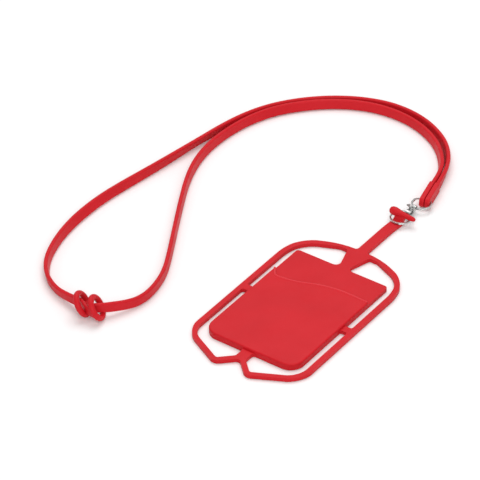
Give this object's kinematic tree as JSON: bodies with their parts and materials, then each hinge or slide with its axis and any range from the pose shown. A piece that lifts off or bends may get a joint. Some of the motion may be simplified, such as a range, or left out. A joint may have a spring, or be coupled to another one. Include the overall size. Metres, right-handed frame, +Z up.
{
  "type": "lanyard badge holder",
  "caption": "Soft silicone card pocket in a stretch frame for a phone, joined by split rings and a swivel lobster clasp to a strap neck lanyard.",
  "frame": {"origin": "middle of the card plate's back face, on the surface that the holder lies on", "axes": "+Y from the card pocket towards the neck strap and clasp, +X across the holder, +Z up out of the pocket's front"},
  "size_m": [0.186, 0.2683, 0.0136],
  "materials": {
    "silicone": "satin red silicone",
    "chrome": "polished plate",
    "spring_steel": "drawn wire"
  },
  "bodies": {
    "clasp": {"clasp_body": "chrome", "clasp_rivet": "chrome", "trigger_spring": "spring_steel"},
    "trigger": {"clasp_trigger": "chrome"},
    "swivel": {"swivel_eye": "chrome"},
    "upper_ring": {"upper_ring": "chrome"},
    "lanyard": {"outer_strap": "silicone", "inner_strap": "silicone", "outer_tab": "silicone", "inner_tab": "silicone", "outer_hoop": "silicone", "inner_hoop": "silicone"},
    "lower_ring": {"lower_ring": "chrome"},
    "holder": {"card_plate": "silicone", "stretch_loop": "silicone", "holder_neck": "silicone", "stopper_head": "silicone", "pocket_front": "silicone"}
  },
  "joints": [
    {"name": "trigger_pivot", "type": "hinge", "parent": "clasp", "child": "trigger", "pos_m": [0.0023, 0.11101, 0.00405], "axis": [1, 0, 0], "range_deg": [0, 25], "stiffness_Nm_per_rad": 0.0005, "springref_deg": -20.05},
    {"name": "swivel_spin", "type": "hinge", "parent": "clasp", "child": "swivel", "pos_m": [0.0023, 0.11436, 0.00305], "axis": [0, 1, 0], "continuous": true},
    {"name": "lanyard_swing", "type": "hinge", "parent": "swivel", "child": "lanyard", "pos_m": [0.0031, 0.1197, 0.00305], "axis": [0, 0, 1], "range_deg": [-70, 6]},
    {"name": "upper_ring_turn", "type": "hinge", "parent": "swivel", "child": "upper_ring", "pos_m": [0.0031, 0.1197, 0.00305], "axis": [0, 0, 1], "continuous": true},
    {"name": "lower_ring_tilt", "type": "hinge", "parent": "clasp", "child": "lower_ring", "pos_m": [0.0023, 0.10751, 0.00305], "axis": [0.9671, -0.2542, 0], "range_deg": [-45, 0]},
    {"name": "holder_turn", "type": "hinge", "parent": "lower_ring", "child": "holder", "pos_m": [0.0008, 0.1018, 0.00305], "axis": [0, 0, 1], "range_deg": [-6, 6]}
  ]
}
